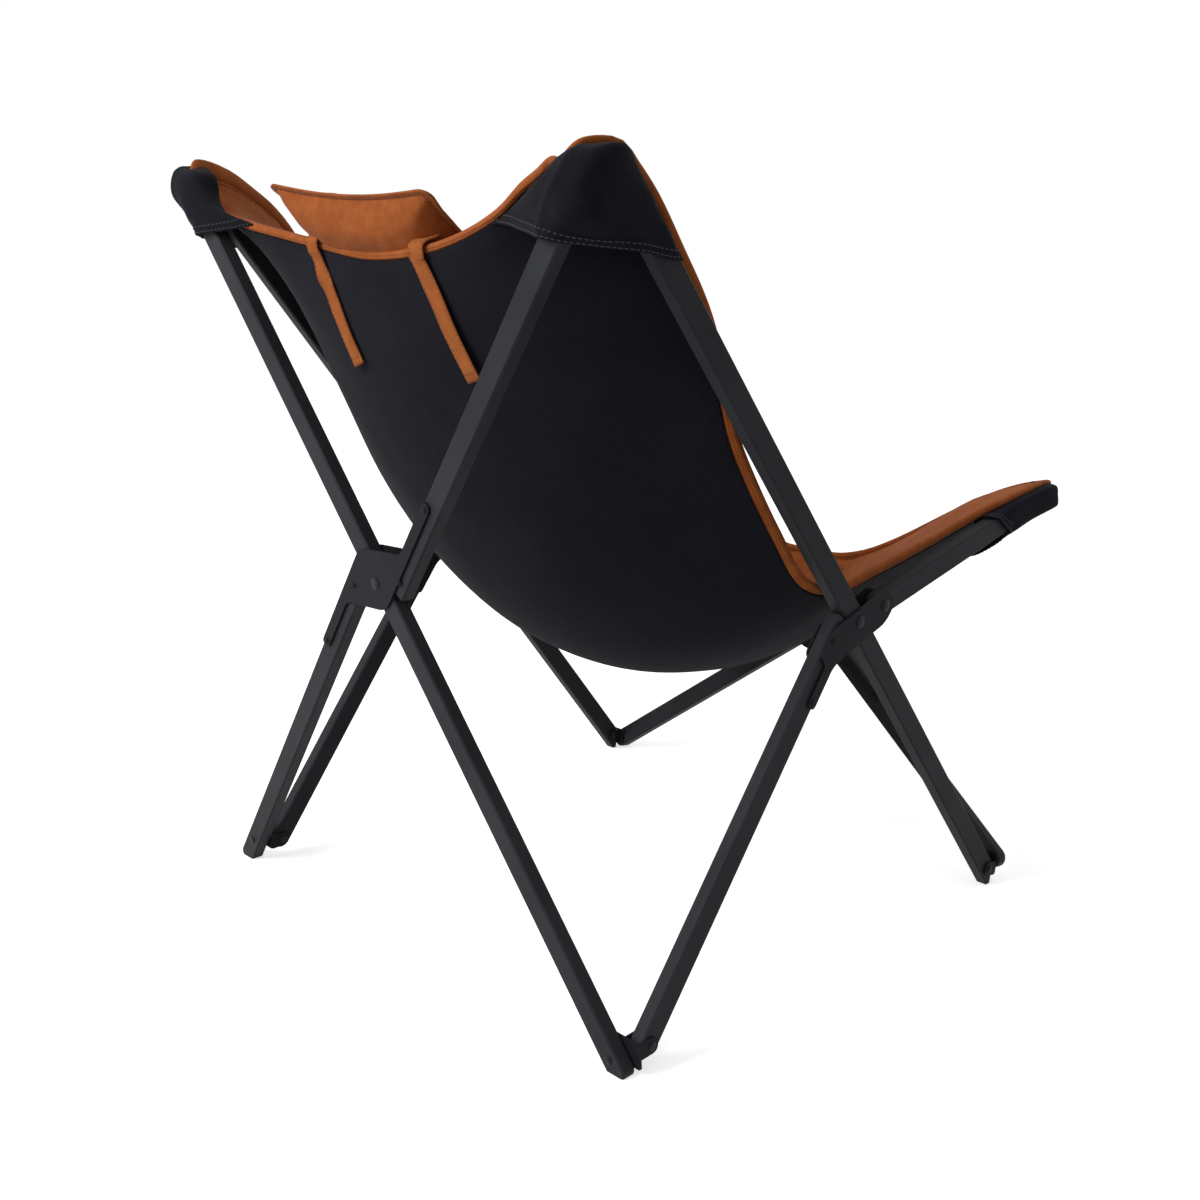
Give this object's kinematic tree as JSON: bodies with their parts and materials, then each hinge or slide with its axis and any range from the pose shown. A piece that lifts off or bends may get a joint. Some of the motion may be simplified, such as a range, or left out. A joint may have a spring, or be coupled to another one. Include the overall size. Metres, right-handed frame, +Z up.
{
  "type": "folding butterfly sling chair",
  "caption": "Folding lounge chair: crossed flat steel bars hinged into a four-sided frame, with a canvas sling hung from its corners, a padded cover and a strapped head pillow.",
  "frame": {"origin": "on the floor, under the middle of the chair's box", "axes": "+Z up, -Y toward the front of the seat, -X toward the sitter's right"},
  "size_m": [0.757, 0.8438, 0.9021],
  "materials": {
    "frame": "satin black powder coat",
    "plates": "satin black powder coat",
    "pins": "black, domed heads",
    "canvas": "black woven canvas",
    "suede": "cognac suede-like cloth",
    "straps": "cognac suede-like strap"
  },
  "bodies": {
    "rear_foot_right": {"clevis_rear_foot_right": "plates", "clevis_pin_rear_foot_right": "pins", "clevis_rivet_rear_foot_right": "pins"},
    "back_straight": {"back_bar_straight": "frame", "clevis_rivet_back_top_left": "pins"},
    "back_split": {"back_bar_lower": "frame", "back_bar_upper": "frame", "back_plate_outer": "plates", "back_plate_inner": "plates", "back_pivot_pin": "pins", "clevis_rivet_back_top_right": "pins"},
    "rear_foot_left": {"clevis_rear_foot_left": "plates", "clevis_pin_rear_foot_left": "pins", "clevis_rivet_rear_foot_left": "pins"},
    "leg_r": {"leg_right": "frame", "side_plate_outer_right": "plates", "side_plate_inner_right": "plates", "side_pivot_pin_right": "pins", "rail_pin_right": "pins"},
    "side_r": {"side_bar_right": "frame"},
    "back_top_right": {"clevis_back_top_right": "plates", "clevis_pin_back_top_right": "pins", "sling": "canvas", "cover": "suede", "head_pillow": "suede", "strap_right": "straps", "strap_left": "straps", "pocket_back_right": "canvas"},
    "rail_r": {"rail_right": "frame"},
    "front_top_right": {"clevis_front_top_right": "plates", "clevis_pin_front_top_right": "pins", "pocket_front_right": "canvas"},
    "front_foot_right": {"clevis_front_foot_right": "plates", "clevis_pin_front_foot_right": "pins", "clevis_rivet_front_foot_right": "pins"},
    "front_split": {"front_bar_lower": "frame", "front_bar_upper": "frame", "front_plate_outer": "plates", "front_plate_inner": "plates", "front_pivot_pin": "pins", "clevis_rivet_front_top_left": "pins"},
    "front_straight": {"front_bar_straight": "frame", "clevis_rivet_front_top_right": "pins", "clevis_rivet_front_foot_left": "pins"},
    "leg_l": {"leg_left": "frame", "side_plate_outer_left": "plates", "side_plate_inner_left": "plates", "side_pivot_pin_left": "pins", "rail_pin_left": "pins"},
    "side_l": {"side_bar_left": "frame"},
    "back_top_left": {"clevis_back_top_left": "plates", "clevis_pin_back_top_left": "pins", "pocket_back_left": "canvas"},
    "rail_l": {"rail_left": "frame"},
    "front_top_left": {"clevis_front_top_left": "plates", "clevis_pin_front_top_left": "pins", "pocket_front_left": "canvas"},
    "front_foot_left": {"clevis_front_foot_left": "plates", "clevis_pin_front_foot_left": "pins"}
  },
  "joints": [
    {"name": "fold", "type": "hinge", "parent": "rear_foot_right", "child": "back_straight", "pos_m": [-0.34583, 0.351, 0.015], "axis": [0, -0.998, 0.0637], "range_deg": [0, 34.5], "deforming": ["sling", "cover", "head_pillow", "strap_right", "strap_left", "pocket_back_right", "pocket_back_left", "pocket_front_right", "pocket_front_left"]},
    {"name": "back_cross", "type": "hinge", "parent": "back_straight", "child": "back_split", "pos_m": [-0.01243, 0.37901, 0.454], "axis": [0, -0.998, 0.0637], "range_deg": [-69.5, 0]},
    {"name": "rear_left_turn", "type": "hinge", "parent": "back_split", "child": "rear_foot_left", "pos_m": [0.34408, 0.35212, 0.03248], "axis": [0, -0.998, 0.0637], "range_deg": [0, 35]},
    {"name": "leg_right_swing", "type": "hinge", "parent": "rear_foot_right", "child": "leg_r", "pos_m": [-0.36243, 0.32531, 0.028], "axis": [1, 0, 0], "range_deg": [-37.8, 0]},
    {"name": "side_right_cross", "type": "hinge", "parent": "leg_r", "child": "side_r", "pos_m": [-0.36243, 0.00951, 0.4112], "axis": [1, 0, 0], "range_deg": [0, 68.1]},
    {"name": "back_top_right_turn", "type": "hinge", "parent": "side_r", "child": "back_top_right", "pos_m": [-0.36243, 0.37352, 0.87806], "axis": [1, 0, 0], "range_deg": [-30.8, 0]},
    {"name": "rail_right_swing", "type": "hinge", "parent": "leg_r", "child": "rail_r", "pos_m": [-0.36243, -0.03543, 0.42165], "axis": [1, 0, 0], "range_deg": [-29.9, 0]},
    {"name": "front_top_right_turn", "type": "hinge", "parent": "rail_r", "child": "front_top_right", "pos_m": [-0.36243, -0.36395, 0.50112], "axis": [1, 0, 0], "range_deg": [0, 60.7]},
    {"name": "front_foot_right_turn", "type": "hinge", "parent": "side_r", "child": "front_foot_right", "pos_m": [-0.36243, -0.29239, 0.024], "axis": [1, 0, 0], "range_deg": [-37.3, 0]},
    {"name": "front_right_turn", "type": "hinge", "parent": "front_foot_right", "child": "front_split", "pos_m": [-0.36389, -0.31842, 0.02934], "axis": [0, -0.9839, -0.1786], "range_deg": [0, 49.5]},
    {"name": "front_cross", "type": "hinge", "parent": "front_split", "child": "front_straight", "pos_m": [-0.01243, -0.36022, 0.2596], "axis": [0, -0.9839, -0.1786], "range_deg": [-98.4, 0]},
    {"name": "leg_left_swing", "type": "hinge", "parent": "rear_foot_left", "child": "leg_l", "pos_m": [0.33757, 0.32531, 0.028], "axis": [1, 0, 0], "range_deg": [-38.3, 0]},
    {"name": "side_left_cross", "type": "hinge", "parent": "leg_l", "child": "side_l", "pos_m": [0.33757, 0.00951, 0.4112], "axis": [1, 0, 0], "range_deg": [0, 68.8]},
    {"name": "back_top_left_turn", "type": "hinge", "parent": "side_l", "child": "back_top_left", "pos_m": [0.33757, 0.37352, 0.87806], "axis": [1, 0, 0], "range_deg": [-31, 0]},
    {"name": "rail_left_swing", "type": "hinge", "parent": "leg_l", "child": "rail_l", "pos_m": [0.33757, -0.03543, 0.42165], "axis": [1, 0, 0], "range_deg": [-29.5, 0]},
    {"name": "front_top_left_turn", "type": "hinge", "parent": "rail_l", "child": "front_top_left", "pos_m": [0.33757, -0.36395, 0.50112], "axis": [1, 0, 0], "range_deg": [0, 60.8]},
    {"name": "front_foot_left_turn", "type": "hinge", "parent": "side_l", "child": "front_foot_left", "pos_m": [0.33757, -0.29239, 0.024], "axis": [1, 0, 0], "range_deg": [-37.5, 0]}
  ],
  "couplings": [
    {"joint": "back_cross", "follows": "fold", "ratio": -2},
    {"joint": "rear_left_turn", "follows": "fold", "ratio": 1},
    {"joint": "leg_right_swing", "follows": "fold", "ratio": -1.0823},
    {"joint": "side_right_cross", "follows": "fold", "ratio": 1.9594},
    {"joint": "back_top_right_turn", "follows": "fold", "ratio": -0.8771},
    {"joint": "rail_right_swing", "follows": "fold", "ratio": -0.8528},
    {"joint": "front_top_right_turn", "follows": "fold", "ratio": 1.7452},
    {"joint": "front_foot_right_turn", "follows": "fold", "ratio": -1.067},
    {"joint": "front_right_turn", "follows": "fold", "ratio": 1.4188},
    {"joint": "front_cross", "follows": "fold", "ratio": -2.8377},
    {"joint": "leg_left_swing", "follows": "fold", "ratio": -1.0957},
    {"joint": "side_left_cross", "follows": "fold", "ratio": 1.978},
    {"joint": "back_top_left_turn", "follows": "fold", "ratio": -0.8823},
    {"joint": "rail_left_swing", "follows": "fold", "ratio": -0.8406},
    {"joint": "front_top_left_turn", "follows": "fold", "ratio": 1.7464},
    {"joint": "front_foot_left_turn", "follows": "fold", "ratio": -1.0722}
  ]
}
